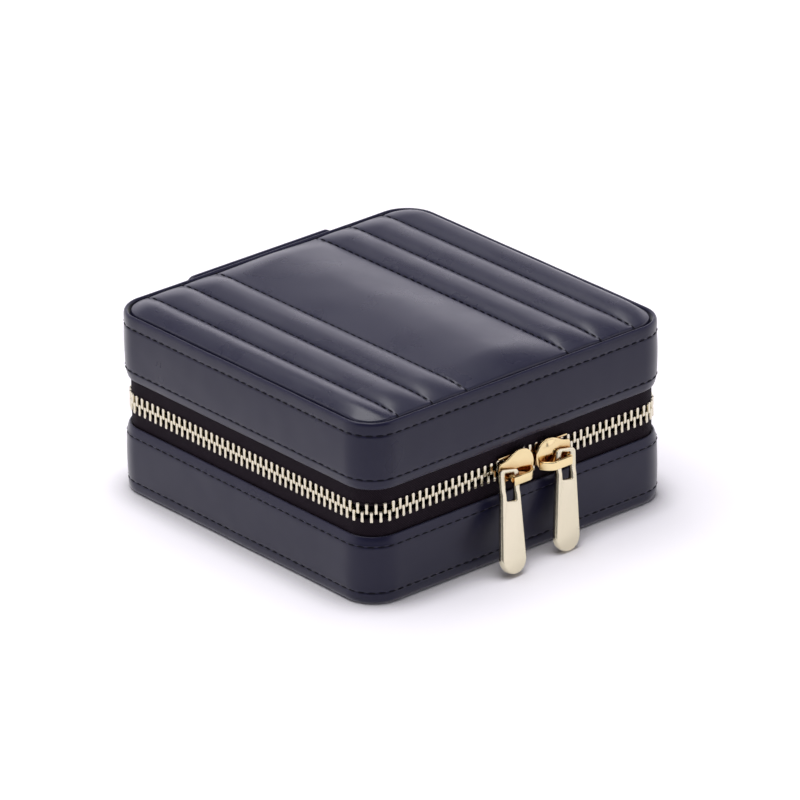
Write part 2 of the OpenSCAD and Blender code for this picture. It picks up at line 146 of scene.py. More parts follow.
def case_path(gap):
    """Points round the outline of the case with their outward directions, from the middle of the back."""
    def facing(degrees):
        return Vector((math.cos(math.radians(degrees)), math.sin(math.radians(degrees))))
    run = case_half - corner_r
    spots = []
    here = Vector((-gap / 2, case_half))
    for turn in range(5):
        first = 90 + 90 * turn
        centre = facing(first + 45) * run * math.sqrt(2)
        end = centre + facing(first) * corner_r if turn < 4 else Vector((gap / 2, case_half))
        steps = max(1, round((end - here).length / side_step))
        spots += [(here.lerp(end, k / steps), facing(first)) for k in range(steps)]
        if turn < 4:
            for k in range(corner_steps):
                out = facing(first + 90 * k / corner_steps)
                spots.append((centre + out * corner_r, out))
            here = centre + facing(first + 90) * corner_r
    if gap:
        spots.append((end, facing(90)))
    return spots


def rounded(section, rounds=2):
    """A closed section with its corners cut, as soft material turns."""
    for _ in range(rounds):
        pairs = zip(section, section[1:] + section[:1])
        section = [tuple(p + (q - p) * t for p, q in zip(a, b)) for a, b in pairs for t in (0.25, 0.75)]
    return section


def round_the_case(section, gap=0.0, capped=False, shape=None):
    """Points and faces of a section (distance in, height) carried round the case."""
    spots = case_path(gap)
    points = []
    for at, out in spots:
        for inset, z in section:
            flat = at - out * inset
            point = Vector((flat.x, flat.y, z))
            points.append(shape(point, out) if shape else point)
    n, m = len(spots), len(section)
    faces = []
    for i in range(n - 1 if gap else n):
        for j in range(m - 1 if capped else m):
            a, b = i * m, (i + 1) % n * m
            faces.append((a + j, a + (j + 1) % m, b + (j + 1) % m, b + j))
    if capped:
        faces.append([i * m for i in range(n)])
        faces.append([i * m + m - 1 for i in range(n)])
    if gap:
        faces.append(list(range(m)))
        faces.append([(n - 1) * m + j for j in range(m)])
    return points, faces


# Points this close become one, and a crisp piece keeps each edge that turns by more degrees than this
weld_gap, crisp_turn = 0.002, 35


def piece(name, shape, finish, body=None, stands_for=(), crisp=False):
    """A mesh in millimetres, with its faces turned outwards, put on its body. Crisp pieces keep their edges."""
    mesh = bpy.data.meshes.new(name)
    mesh.from_pydata([Vector(p) * MM for p in shape[0]], [], shape[1])
    work = bmesh.new()
    work.from_mesh(mesh)
    if crisp:
        bmesh.ops.remove_doubles(work, verts=work.verts, dist=weld_gap * MM)
    bmesh.ops.recalc_face_normals(work, faces=work.faces)
    work.to_mesh(mesh)
    work.free()
    mesh.shade_smooth()
    if crisp:
        mesh.set_sharp_from_angle(angle=math.radians(crisp_turn))
    mesh.materials.append(finish)
    made = bpy.data.objects.new(name, mesh)
    bpy.context.scene.collection.objects.link(made)
    if body:
        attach(made, body)
    if stands_for:
        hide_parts(*stands_for)
    return made


# Leather pulled over foam by hand is never quite even: (depth, length) of its swells
swells = ((0.12, 17), (0.05, 6))


def handled(point, out):
    """A point of a wall, moved in or out by its swells."""
    push = sum(depth * noise.noise(point / length) for depth, length in swells)
    return point + Vector((out.x, out.y, 0)) * push


# Section of the wall, over its folded top, down the outside and under the board: (distance in, height)
base_wall_section = rounded([
    (1.60, base_top - 1.3), (1.58, base_top - 0.5), (1.25, base_top), (0.85, base_top - 0.15),
    (0.58, base_top - 0.8), (0.36, base_top - 1.5), (0.18, base_top - 2.3),
    (0.02, base_seams[1] + 0.30), (0.28, base_seams[1]), (0.00, base_seams[1] - 0.35),
    (-0.10, base_seams[1] - 1.6), (-0.20, 13.5), (-0.22, 10.5), (-0.16, 7.5), (-0.06, 5.6),
    (0.00, base_seams[0] + 0.4), (0.28, base_seams[0]), (0.00, base_seams[0] - 0.45), (0.00, 2.2),
    (0.15, 1.2), (0.55, 0.5), (1.3, 0.06), (2.4, 0.0), (5.0, 0.0), (turn_under, 0.0),
    (turn_under, 0.75), (4.0, 0.78), (board_in, 0.8), (board_in, 3.0), (board_in, base_top - 5.4),
    (1.60, base_top - 5.1)])
# Waxed navy hide: to the eye almost black, with a broad soft gloss and a faint pale haze where it turns away
navy_leather = leather("navy leather", "#181735", 0.31, 0.32, 0.5)
piece("base_wall", round_the_case(base_wall_section, shape=handled), navy_leather, "base",
      ("base_side_leather", "base_side_padding"))

# Base bottom: a flat panel of the same navy leather, cut to the outline of the case.
# It is glued to the board, inside the turned edge of the wall.
bottom_in = 8.0
piece("base_underside",
      round_the_case([(bottom_in + 0.1, 0.8), (bottom_in, 0.6), (bottom_in, 0.25), (bottom_in + 0.25, 0.0)],
                     capped=True),
      navy_leather, "base", ("base_bottom_leather",))

# Tray lining: plum velvet on thin card, which covers the walls and the floor of the tray.
# It is folded over the top edge of the board and glued down.
tray_floor = 3.7
lining_in = 4.35
room_in = 5.15
lip_z = base_top - 0.6
# Cut pile: to the eye a dull plum, pale where the pile is seen from the side.
# The nap is too fine for the render, so it is drawn as coarse as it needs to show.
velvet_nap, nap_depth = 0.4, 0.12
velvet, tree, surface = new_finish("plum velvet", {
    "Base Color": linear("#4b4152"), "Roughness": 0.95, "Sheen Weight": 0.7, "Sheen Roughness": 0.35,
    "Sheen Tint": linear("#b9adc4")})
place = add_node(tree, "ShaderNodeTexCoord").outputs["Object"]
nap = add_node(tree, "ShaderNodeTexNoise", {"Vector": place, "Scale": 1 / (velvet_nap * MM), "Detail": 2})
pile = add_node(tree, "ShaderNodeBump", {
    "Height": nap.outputs["Fac"], "Strength": 0.5, "Distance": nap_depth * MM})
tree.links.new(pile.outputs["Normal"], surface.inputs["Normal"])
piece("tray_velvet",
      round_the_case([
          (lining_in, tray_floor - 0.75), (lining_in, lip_z - 0.85), (board_in + 0.1, lip_z - 0.7),
          (board_in + 0.1, lip_z - 0.25), (board_in + 0.35, lip_z), (room_in - 0.35, lip_z),
          (room_in - 0.08, lip_z - 0.12), (room_in, lip_z - 0.4), (room_in, tray_floor + 0.6),
          (room_in + 0.15, tray_floor + 0.2), (room_in + 0.55, tray_floor)], capped=True),
      velvet, "base", ("base_lining",))

# Dividers: strips of board covered in the same velvet, one along the tray and one across its right half.
# The cloth rounds their edges, and they are glued to the lining of the tray.
divider_edge = 0.9


def soft_block(low, high, r):
    """A box with rounded edges."""
    work = bmesh.new()
    bmesh.ops.create_cube(work, size=1)
    middle = (Vector(low) + Vector(high)) / 2
    size = Vector(high) - Vector(low)
    for v in work.verts:
        v.co = middle + Vector(v.co[k] * size[k] for k in range(3))
    bmesh.ops.bevel(work, geom=work.edges[:], offset=r, segments=4, profile=0.5, affect="EDGES")
    work.verts.index_update()
    shape = [v.co.copy() for v in work.verts], [[v.index for v in f.verts] for f in work.faces]
    work.free()
    return shape


for strip in ("long_divider", "cross_divider"):
    low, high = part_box(strip)
    piece("velvet_" + strip, soft_block(low / MM, high / MM, divider_edge), velvet, "base", (strip,))

# Ring rolls: six foam rolls wrapped in velvet, pressed in side by side so that rings stand between them.
# Each is a soft arch, a little fuller in the middle than at its ends.
tray_corner = case_half - corner_r
corner_room = corner_r - room_in - 0.2
roll_steps = 26
# How far the cloth draws in at each end and over what length, and how unevenly it lies and over what length
end_slack, end_length = 1.3, 2.2
cloth_swell, swell_length = 0.15, 6


def skinned(rings):
    """Points and faces of a skin drawn over a row of rings of points, with both ends shut."""
    m = len(rings[0])
    last = (len(rings) - 1) * m
    faces = [(a + k, a + (k + 1) % m, a + m + (k + 1) % m, a + m + k) for a in range(0, last, m) for k in range(m)]
    faces += [list(range(m)), list(range(last, last + m))]
    return [p for ring in rings for p in ring], faces


for number in range(1, 7):
    low, high = (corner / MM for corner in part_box(f"ring_roll_{number}"))
    half = (high.y - low.y) / 2
    middle = (high.y + low.y) / 2
    straight = high.z - low.z - half
    total = high.x - low.x
    lengths = [s for s in [0, 0.15, 0.5, 1.1, 2, 3.5] + [6 + 4 * k for k in range(11)] if s < total / 2]
    lengths += [total - s for s in reversed(lengths)]
    rings = []
    for s in lengths:
        from_end = min(s, total - s)
        slack = end_slack * (1 - math.sqrt(1 - (1 - min(from_end, end_length) / end_length) ** 2)) + 0.02
        ring = []
        for k in range(roll_steps):
            turn = math.pi * k / (roll_steps - 1)
            y = math.cos(turn) * (half - slack)
            z = straight + math.sin(turn) ** 0.8 * (half - slack)
            z += cloth_swell * noise.noise(Vector((s / swell_length, k, number)))
            if k in (0, roll_steps - 1):
                z = 0.0
            at = Vector((low.x + s, middle + y, low.z + max(0, min(z, half + straight))))
            past = Vector((-tray_corner - at.x, abs(at.y) - tray_corner))
            if min(past) > 0 and past.length > corner_room:
                past *= corner_room / past.length
                at.x, at.y = -tray_corner - past.x, math.copysign(tray_corner + past.y, at.y)
            ring.append(at)
        rings.append(ring)
    roll = piece(f"roll_{number}", skinned(rings), velvet, "base", (f"ring_roll_{number}",))

# Zip tapes: two woven twill tapes, sewn in behind the folded edges of the walls.
# Each ends in a corded edge that carries the teeth, and is spread where the sliders hold it open.
lid_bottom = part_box("lid_side_leather")[0].z / MM
rim_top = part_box("lid_side_leather")[1].z / MM
chain_z = (base_top + lid_bottom) / 2
tape_in = 1.65
tape_t = 0.6
tape_tail = 4.8
tape_edge = 2.1
path_in = tape_in + tape_t / 2
cord_r, cord_h, cord_flat = 0.5, 0.9, 0.3
zip_end_gap = 48.2
meet_x = 4.4
shut_from = 11.5
open_from = 6.0
row_open = 1.35
# Woven twill: to the eye matt and near black, with slanting ribs that just catch the light, their crests also given a
# painted highlight.
# The ribs are too fine for the render, so they are drawn as coarse as they need to show.
twill_pitch, rib_depth = 0.8, 0.12
# A wave texture of scale 1 runs ten radians to a unit, so this scale gives one rib to a unit
one_rib = 0.628
twill, tree, surface = new_finish("plum twill tape", {
    "Base Color": linear("#1d161d"), "Roughness": 0.75, "Specular IOR Level": 0.15})
place = add_node(tree, "ShaderNodeUVMap", uv_map="weave").outputs["UV"]
ribs = add_node(tree, "ShaderNodeTexWave", {
    "Vector": place, "Scale": one_rib / (twill_pitch * MM), "Distortion": 0.6, "Detail": 1, "Detail Scale": 2},
    wave_type="BANDS", bands_direction="DIAGONAL")
raised = add_node(tree, "ShaderNodeBump", {
    "Height": ribs.outputs["Fac"], "Strength": 0.6, "Distance": rib_depth * MM})
tree.links.new(raised.outputs["Normal"], surface.inputs["Normal"])
# Painted highlight: the crests of the ribs are coloured paler than the hollows between them
rib_highlight = add_node(tree, "ShaderNodeValToRGB", {"Fac": ribs.outputs["Fac"]})
rib_highlight.color_ramp.elements[0].color = linear("#0d080e")
rib_highlight.color_ramp.elements[1].color = linear("#261925")
tree.links.new(rib_highlight.outputs["Color"], surface.inputs["Base Color"])


def row_shift(x, y):
    """How far a row stands off the middle of the chain near the sliders."""
    if y > 0:
        return 0.0
    return row_open * max(0.0, min(1.0, (shut_from - abs(x - meet_x)) / (shut_from - open_from)))


for name, body, side, node_name in (("lower_tape", "base", -1, "lower_zip_tape"),
                                    ("upper_tape", "lid", 1, "upper_zip_tape")):
    hem = base_top if side < 0 else lid_bottom
    edge = chain_z + side * tape_edge
    reach = abs(edge - hem)
    tail = hem + side * tape_tail

    def spread(point, out):
        """Draws the free part of the tape up or down with its row of teeth."""
        share = max(0.0, min(1.0, abs(point.z - hem) / reach)) if (point.z - hem) * side < 0 else 0.0
        return point + Vector((0, 0, side * share * row_shift(point.x, point.y)))

    section = [(tape_in, tail)] + [(tape_in, hem - side * reach * k / 8) for k in range(8)]
    section += [(path_in - cord_r, edge + side * cord_h), (path_in - cord_r, edge + side * cord_flat),
                (path_in - cord_flat, edge), (path_in + cord_flat, edge),
                (path_in + cord_r, edge + side * cord_flat), (path_in + cord_r, edge + side * cord_h)]
    section += [(tape_in + tape_t, hem - side * reach * k / 8) for k in reversed(range(8))] + [(tape_in + tape_t, tail)]
    shape = round_the_case(section, gap=zip_end_gap, shape=spread)
    tape = piece(name, shape, twill, body, (node_name,))
    weave = tape.data.uv_layers.new(name="weave").data
    spots = case_path(zip_end_gap)
    along = np.concatenate([[0], np.cumsum([(b[0] - a[0]).length for a, b in zip(spots, spots[1:])])])
    for loop in tape.data.loops:
        spot, step = divmod(loop.vertex_index, len(section))
        weave[loop.index].uv = (along[spot] * MM, section[step][1] * MM)

# Zip teeth: two rows of pale gilt brass teeth, each pressed on to the corded edge of its tape.
# The rows are half a pitch out of step, and their heads lock into one line along the middle.
tooth_pitch = 2.54
tooth_half_t = 0.95
chain_half = 3.1
tooth_past = 0.45
teeth_each_way = 77
# Size of the clouds in a polish and of the swells of a casting, and how near other metal makes a recess
polish_cloud, cast_swell, recess = 16.7, 5.88, 4.5
# How open a spot is where the painted shade in a recess is full, and where it ends
full_shade_at, no_shade_at = 0.4, 0.98


def gilt(name, colour, rough, wavy=0.0, deep=None):
    """Bright plated metal, a little uneven from handling. A casting is wavy, and its recesses get a painted shade of
    the colour deep.
    """
    finish, tree, surface = new_finish(name, {"Base Color": linear(colour), "Metallic": 1.0})
    place = add_node(tree, "ShaderNodeTexCoord").outputs["Object"]
    handling = add_node(tree, "ShaderNodeTexNoise", {"Vector": place, "Scale": 1 / (polish_cloud * MM), "Detail": 2})
    polish = add_node(tree, "ShaderNodeMapRange", {
        "Value": handling.outputs["Fac"], "To Min": rough - 0.03, "To Max": rough + 0.03})
    tree.links.new(polish.outputs["Result"], surface.inputs["Roughness"])
    if wavy:
        swell = add_node(tree, "ShaderNodeTexNoise", {"Vector": place, "Scale": 1 / (cast_swell * MM), "Detail": 0})
        uneven = add_node(tree, "ShaderNodeBump", {"Height": swell.outputs["Fac"], "Distance": wavy * MM})
        tree.links.new(uneven.outputs["Normal"], surface.inputs["Normal"])
    if deep:
        # Painted shade: where other metal stands near, the colour goes over to deep
        open_share = add_node(tree, "ShaderNodeAmbientOcclusion", {"Distance": recess * MM}, samples=8)
        recess_shade = add_node(tree, "ShaderNodeValToRGB", {"Fac": open_share.outputs["AO"]})
        for stop, at, tint in zip(recess_shade.color_ramp.elements, (full_shade_at, no_shade_at), (deep, colour)):
            stop.position = at
            stop.color = linear(tint)
        tree.links.new(recess_shade.outputs["Color"], surface.inputs["Base Color"])
    return finish


# Thinly gilt brass: to the eye small bright glints along the row, nearer to silver than to gold
zip_gilt = gilt("pale gilt brass", "#ddd6c1", 0.18)


def zip_place(s):
    """Place and heading on the zip's path at a distance s from the middle of the front, going right."""
    run = case_half - corner_r
    r = corner_r - path_in
    quarter = math.pi / 2 * r
    a = abs(s) - run
    b = a - quarter
    c = b - 2 * run
    d = c - quarter
    if a < 0:
        x, y, turn = abs(s), -run - r, 0
    elif b < 0:
        turn = a / r
        x, y = run + r * math.sin(turn), -run - r * math.cos(turn)
    elif c < 0:
        x, y, turn = run + r, b - run, math.pi / 2
    elif d < 0:
        turn = math.pi / 2 + c / r
        x, y = run + r * math.sin(turn), run - r * math.cos(turn)
    else:
        x, y, turn = run - d, run + r, math.pi
    return (x, y, turn) if s >= 0 else (-x, y, -turn)


def tooth_shape():
    """One tooth, its foot at the bottom and its head at the top."""
    # (half width, half thickness, height)
    levels = [(0.42, 0.8, -chain_half), (0.54, tooth_half_t, -chain_half + 0.25), (0.52, tooth_half_t, -2.1),
              (0.41, tooth_half_t, -0.95), (0.52, tooth_half_t, -0.45), (0.52, 0.88, 0.15), (0.4, 0.75, tooth_past)]
    corner = 0.2
    rings = []
    for w, t, z in levels:
        ring = []
        for sx, sy in ((1, -1), (1, 1), (-1, 1), (-1, -1)):
            cut = [(w - corner * w, t), (w, t - corner)] if sx * sy < 0 else [(w, t - corner), (w - corner * w, t)]
            ring += [(sx * a, sy * b, z) for a, b in cut]
        rings.append(ring)
    return skinned(rings)


def tree_with(name, sockets):
    """A geometry node tree with named inputs, and the outputs that hand them on."""
    tree = bpy.data.node_groups.new(name, "GeometryNodeTree")
    tree.interface.new_socket("Geometry", in_out="INPUT", socket_type="NodeSocketGeometry")
    for socket, kind in sockets:
        tree.interface.new_socket(socket, in_out="INPUT", socket_type=kind)
    tree.interface.new_socket("Geometry", in_out="OUTPUT", socket_type="NodeSocketGeometry")
    return tree, add_node(tree, "NodeGroupInput").outputs


def grown(name, carrier, tree, copies, finish, values):
    """Ends a tree by making its copies real and dressing them, and keeps what grows on the carrier as a plain mesh."""
    real = add_node(tree, "GeometryNodeRealizeInstances", {"Geometry": copies.outputs["Instances"]})
    dressed = add_node(tree, "GeometryNodeSetMaterial", {"Geometry": real.outputs["Geometry"], "Material": finish})
    add_node(tree, "NodeGroupOutput", {"Geometry": dressed.outputs["Geometry"]})
    holder = bpy.data.objects.new(name + " holder", carrier)
    bpy.context.scene.collection.objects.link(holder)
    modifier = holder.modifiers.new("growth", "NODES")
    modifier.node_group = tree
    for item in tree.interface.items_tree:
        if item.in_out == "INPUT" and item.name in values:
            modifier[item.identifier] = values[item.name]
    mesh = bpy.data.meshes.new_from_object(holder.evaluated_get(bpy.context.evaluated_depsgraph_get()))
    mesh.name = name
    bpy.data.objects.remove(holder)
    made = bpy.data.objects.new(name, mesh)
    bpy.context.scene.collection.objects.link(made)
    return made


def row_of_teeth(name, spots, body, node_name):
    """Sets a tooth on each spot (place, turn) of a row."""
    tree, given = tree_with(name + " row", (("Tooth", "NodeSocketObject"), ("Finish", "NodeSocketMaterial")))
    turns = add_node(tree, "GeometryNodeInputNamedAttribute", {"Name": "turn"}, data_type="FLOAT_VECTOR")
    turned = add_node(tree, "FunctionNodeEulerToRotation", {0: turns.outputs["Attribute"]})
    one = add_node(tree, "GeometryNodeObjectInfo", {"Object": given["Tooth"]})
    copies = add_node(tree, "GeometryNodeInstanceOnPoints", {
        "Points": given["Geometry"], "Instance": one.outputs["Geometry"], "Rotation": turned.outputs[0]})
    tooth = piece(name + " pattern", tooth_shape(), zip_gilt, crisp=True)
    tooth_mesh = tooth.data
    carrier = bpy.data.meshes.new(name + " spots")
    carrier.from_pydata([Vector(p) * MM for p, _ in spots], [], [])
    turn = carrier.attributes.new("turn", "FLOAT_VECTOR", "POINT")
    turn.data.foreach_set("vector", [v for _, t in spots for v in t])
    made = grown(name, carrier, tree, copies, given["Finish"], {"Tooth": tooth, "Finish": zip_gilt})
    bpy.data.objects.remove(tooth)
    for spare in (tooth_mesh, carrier):
        bpy.data.meshes.remove(spare)
    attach(made, body)
    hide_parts(node_name)


for name, body, side, step, node_name in (("lower_teeth", "base", -1, 0, "lower_zip_teeth"),
                                          ("upper_teeth", "lid", 1, 0.5, "upper_zip_teeth")):
    spots = []
    for number in range(-teeth_each_way, teeth_each_way + 1):
        x, y, heading = zip_place((number + step) * tooth_pitch)
        spots.append(((x, y, chain_z + side * row_shift(x, y)), (0, math.pi if side > 0 else 0, heading)))
    row_of_teeth(name, spots, body, node_name)
for stops in ("lower_zip_stops", "upper_zip_stops"):
    paint(stops, zip_gilt)

# Lid wall: a strip of navy leather over foam like the base's, folded in at the zip.
# Its upper edge is turned and sewn into a narrow rim that stands round the quilted top.
lid_seams = (40.4, 54.7)
rim_w = 1.45
# Section of the wall, from its fold at the zip up the outside and over the rim: (distance in, height)
lid_wall_section = rounded([
    (1.60, lid_bottom + 1.3), (1.58, lid_bottom + 0.5), (1.25, lid_bottom), (0.85, lid_bottom + 0.15),
    (0.58, lid_bottom + 0.8), (0.36, lid_bottom + 1.5), (0.18, lid_bottom + 2.3),
    (0.02, lid_seams[0] - 0.35), (0.28, lid_seams[0]), (0.00, lid_seams[0] + 0.35),
    (-0.10, lid_seams[0] + 1.6), (-0.20, 45.5), (-0.22, 48.5), (-0.16, 51.5), (-0.06, 53.6),
    (0.00, lid_seams[1] - 0.45), (0.30, lid_seams[1]), (0.02, lid_seams[1] + 0.40),
    (-0.05, rim_top - 2.0), (0.00, rim_top - 1.0), (0.18, rim_top - 0.35), (0.55, rim_top),
    (rim_w - 0.5, rim_top), (rim_w - 0.12, rim_top - 0.3), (rim_w, rim_top - 0.9), (rim_w, rim_top - 2.9),
    (board_in, rim_top - 3.0), (board_in, rim_top - 4.0), (board_in, 46.0), (board_in, lid_bottom + 5.4),
    (1.60, lid_bottom + 5.1)])
piece("lid_wall", round_the_case(lid_wall_section, shape=handled), navy_leather, "lid",
      ("lid_side_leather", "lid_side_padding"))

# Quilted top: soft leather laid over foam and sewn through in six lines, front to back.
# Every channel puffs up between its lines, and the cover is drawn down into the groove by the rim.
seam_lines = (-46.5, -33.2, -19.9, 19.9, 33.2, 46.5)
quilt_in = 2.05
quilt_low = rim_top - 3.0
quilt_edge_z = rim_top - 0.15
quilt_seam_z = rim_top + 0.6
puff_h = 1.7
panel_h = 2.8
left_roll, right_roll = 7.0, 4.6
front_roll, back_roll = 13.0, 11.0
tuck_h, tuck_w = 1.4, 0.75
# A panel wider than this is the plain one in the middle
channel_most = 20
# Nip at a stitch, crease along a sewn line, and how far that line pulls in the edge: (depth, width)
nip_h, nip_w = 0.04, 0.8
crease_h, crease_w = 0.3, 0.4
pinch_h, pinch_w = 0.12, 1.2
loose_share = 0.05
edge_run = 6.0
quilt_pitch = 3.19
quilt_half = case_half - quilt_in
quilt_corner = corner_r - quilt_in


def quilt_reach(along):
    """Half the size of the rounded cover, at a distance along its other side."""
    past = min(quilt_corner, max(0.0, abs(along) - case_half + corner_r))
    return case_half - corner_r + math.sqrt(quilt_corner ** 2 - past ** 2)


def quilt_height(x, y):
    """Height of the quilted cover: the channels' puff, drawn down at the edge and nipped at every stitch."""
    from_end = max(0.0, quilt_reach(x) - abs(y))
    from_side = max(0.0, quilt_reach(y) - abs(x))
    end_roll = front_roll if y < 0 else back_roll
    drawn = 1 - (1 - min(from_end, end_roll) / end_roll) ** 2.1
    side_roll = left_roll if x < 0 else right_roll
    drawn *= 1 - (1 - min(from_side, side_roll) / side_roll) ** 2.4
    off = min(abs(x - line) for line in seam_lines)
    marks = (-quilt_half - 2.0,) + seam_lines + (quilt_half + 2.0,)
    left = max(m for m in marks[:-1] if m <= x + 1e-6)
    right = marks[marks.index(left) + 1]
    t = abs(2 * (x - left) / (right - left) - 1)
    puff = puff_h * (1 - min(t, 1.0) ** 2.2) if right - left < channel_most else panel_h * (1 - t ** 1.75)
    nip = nip_h * math.exp(-off / nip_w) * math.cos(2 * math.pi * y / quilt_pitch)
    loose = loose_share * noise.noise(Vector((x / 9, y / 16, 3.0))) * puff
    crease = crease_h * math.exp(-(off / crease_w) ** 2)
    rise = quilt_seam_z - quilt_edge_z + puff + nip + loose - crease
    tuck = tuck_h * (1 - min(1.0, min(from_end, from_side) / tuck_w)) ** 2.4
    return quilt_edge_z + rise * drawn - tuck


# The columns of points stand closest at the sewn lines and round the corners
columns = set()
marks = (-quilt_half,) + seam_lines + (quilt_half,)
for left, right in zip(marks, marks[1:]):
    count = 24 if right - left < channel_most else 48
    for k in range(count + 1):
        columns.add(round(left + (right - left) * (0.5 - 0.5 * math.cos(math.pi * k / count)), 4))
run = case_half - corner_r
columns.update(round(side * (run + quilt_corner * math.sin(math.radians(a))), 4)
               for a in range(4, 91, 4) for side in (-1, 1))
edge_steps = [edge_run * (1 - math.cos(math.radians(a))) for a in range(0, 91, 6)]
rings = []
for x in sorted(columns):
    pinch = pinch_h * math.exp(-min(abs(x - line) for line in seam_lines) / pinch_w)
    half = quilt_reach(x) - pinch
    inner = half - edge_steps[-1]
    ys = [-half + e for e in edge_steps] + list(np.linspace(-inner, inner, 132)[1:-1])
    ys += [half - e for e in reversed(edge_steps)]
    rings.append([(x, -half, quilt_low)] + [(x, y, quilt_height(x, y)) for y in ys] + [(x, half, quilt_low)])
# Softer hide of the same dye: to the eye paler and glossier, so that each channel carries a long streak of light
soft_leather = leather("soft navy leather", "#24243b", 0.29, 0.46)
quilt = piece("quilted_top", skinned(rings), soft_leather, "lid", ("lid_quilted_top", "lid_pad_foam"))

# Lid lining and mirror: plum velvet on card like the tray's, folded over the edge of the lid's board and glued.
# A small mirror of silvered glass is glued to the middle of it.
ceiling = 52.8
mouth = lid_bottom + 0.6
piece("lid_velvet",
      round_the_case([
          (lining_in, ceiling + 0.75), (lining_in, mouth + 0.85), (board_in + 0.1, mouth + 0.7),
          (board_in + 0.1, mouth + 0.25), (board_in + 0.35, mouth), (room_in - 0.35, mouth),
          (room_in - 0.08, mouth + 0.12), (room_in, mouth + 0.4), (room_in, ceiling - 0.6),
          (room_in + 0.15, ceiling - 0.2), (room_in + 0.55, ceiling)], capped=True),
      velvet, "lid", ("lid_lining",))
# Glass silvered behind: to the eye a clear, cold mirror
silvered = new_finish("silvered glass", {"Base Color": linear("#e4e9ea"), "Metallic": 1.0, "Roughness": 0.03})[0]
paint("lid_mirror", silvered)

# Hinge strap: one doubled leather strip sewn flat to the back of the base and of the lid.
low, high = (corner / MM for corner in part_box("back_hinge_strap"))
strap_r = 4.0
strap_edge = 0.8
across = 40
drops = [strap_r * (1 - math.cos(math.radians(a))) for a in range(0, 91, 10)]
heights = sorted(set([round(low.z + d, 4) for d in drops] + [round(high.z - d, 4) for d in drops]
                     + list(np.round(np.linspace(low.z + strap_r, high.z - strap_r, 46), 4))))
face_y = (high.y + low.y) / 2
thick = (high.y - low.y) / 2
rings = []
for z in heights:
    short = max(0.0, strap_r - min(z - low.z, high.z - z))
    half = high.x - strap_r + math.sqrt(max(0.0, strap_r ** 2 - short ** 2))
    ring = []
    for k in range(across + 1):
        x = -half * math.cos(math.pi * k / across)
        rim = max(0.0, 1 - min(half - abs(x), z - low.z, high.z - z) / strap_edge)
        ring.append((x, thick * math.sqrt(max(0.0, 1 - rim ** 2))))
    rings.append([(x, face_y + b, z) for x, b in ring] + [(x, face_y - b, z) for x, b in reversed(ring[1:-1])])
strap = piece("hinge_strap", skinned(rings), navy_leather, None, ("back_hinge_strap",))
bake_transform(strap)

# Stitching: dark waxed thread, sewn by machine along both edges of each wall, down the quilting lines
# and round the strap. It lies in the grooves that it draws into the leather.
thread_r = 0.21
wall_pitch = 3.2
gap_share = 0.26
wall_sink, strap_sink = 0.06, 0.02
quilt_lift, quilt_run = 0.36, 57.6
# Waxed thread: to the eye a dull row of dashes, darker than the leather
thread = new_finish("dark waxed thread", {
    "Base Color": linear("#100f1b"), "Roughness": 0.7, "Specular IOR Level": 0.2})[0]


def sewn(name, lines, pitch):
    """Stitches along lines of points, each (points, closed)."""
    sockets = [(socket, "NodeSocketFloat") for socket in ("Stitch pitch", "Stitch length", "Thread radius")]
    tree, given = tree_with(name + " stitches", sockets + [("Thread", "NodeSocketMaterial")])
    spaced = add_node(tree, "GeometryNodeCurveToPoints", {
        "Curve": given["Geometry"], "Length": given["Stitch pitch"]}, mode="LENGTH")
    ahead = add_node(tree, "FunctionNodeAlignRotationToVector", {"Vector": spaced.outputs["Tangent"]}, axis="X")
    half = add_node(tree, "ShaderNodeMath", {0: given["Stitch length"], 1: 0.5}, operation="MULTIPLY")
    size = add_node(tree, "ShaderNodeCombineXYZ", {
        "X": half.outputs[0], "Y": given["Thread radius"], "Z": given["Thread radius"]})
    bead = add_node(tree, "GeometryNodeMeshUVSphere", {"Segments": 8, "Rings": 6, "Radius": 1.0})
    copies = add_node(tree, "GeometryNodeInstanceOnPoints", {
        "Points": spaced.outputs["Points"], "Instance": bead.outputs["Mesh"], "Rotation": ahead.outputs["Rotation"],
        "Scale": size.outputs[0]})
    curve = bpy.data.curves.new(name + " lines", "CURVE")
    curve.dimensions = "3D"
    for line, closed in lines:
        spline = curve.splines.new("POLY")
        spline.points.add(len(line) - 1)
        spline.points.foreach_set("co", [c for p in line for c in (p[0] * MM, p[1] * MM, p[2] * MM, 1)])
        spline.use_cyclic_u = closed
    made = grown(name, curve, tree, copies, given["Thread"], {
        "Stitch pitch": pitch * MM, "Stitch length": pitch * (1 - gap_share) * MM, "Thread radius": thread_r * MM,
        "Thread": thread})
    bpy.data.curves.remove(curve)
    made.data.materials.clear()
    made.data.materials.append(thread)
    made.data.shade_smooth()
    return made


def wall_line(z):
    """A sewn line round the case."""
    return [(at.x - out.x * wall_sink, at.y - out.y * wall_sink, z) for at, out in case_path(0.0)], True


base_thread = sewn("base_stitching", [wall_line(z) for z in base_seams], wall_pitch)
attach(base_thread, "base")
lid_thread = sewn("lid_stitching", [wall_line(z) for z in lid_seams], wall_pitch)
quilt_ys = np.linspace(-quilt_run, quilt_run, 160)
quilt_lines = [([(x, y, quilt_height(x, y) + quilt_lift) for y in quilt_ys], False) for x in seam_lines]
quilt_thread = sewn("quilt_stitching", quilt_lines, quilt_pitch)
for made, slot in ((lid_thread, "lid_leather"), (quilt_thread, "quilted_leather")):
    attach(made, "lid")
edge_in = 2.5
inner_r = strap_r - 1.5
outline = []
for cx, cz, first in ((1, 1, 0), (-1, 1, 90), (-1, -1, 180), (1, -1, 270)):
    centre_x = cx * (high.x - edge_in - inner_r)
    centre_z = (high.z - edge_in - inner_r) if cz > 0 else (low.z + edge_in + inner_r)
    for a in range(first, first + 91, 15):
        outline.append((centre_x + inner_r * math.cos(math.radians(a)), high.y - strap_sink,
                        centre_z + inner_r * math.sin(math.radians(a))))
strap_thread = sewn("strap_stitching", [(outline, True)], wall_pitch)
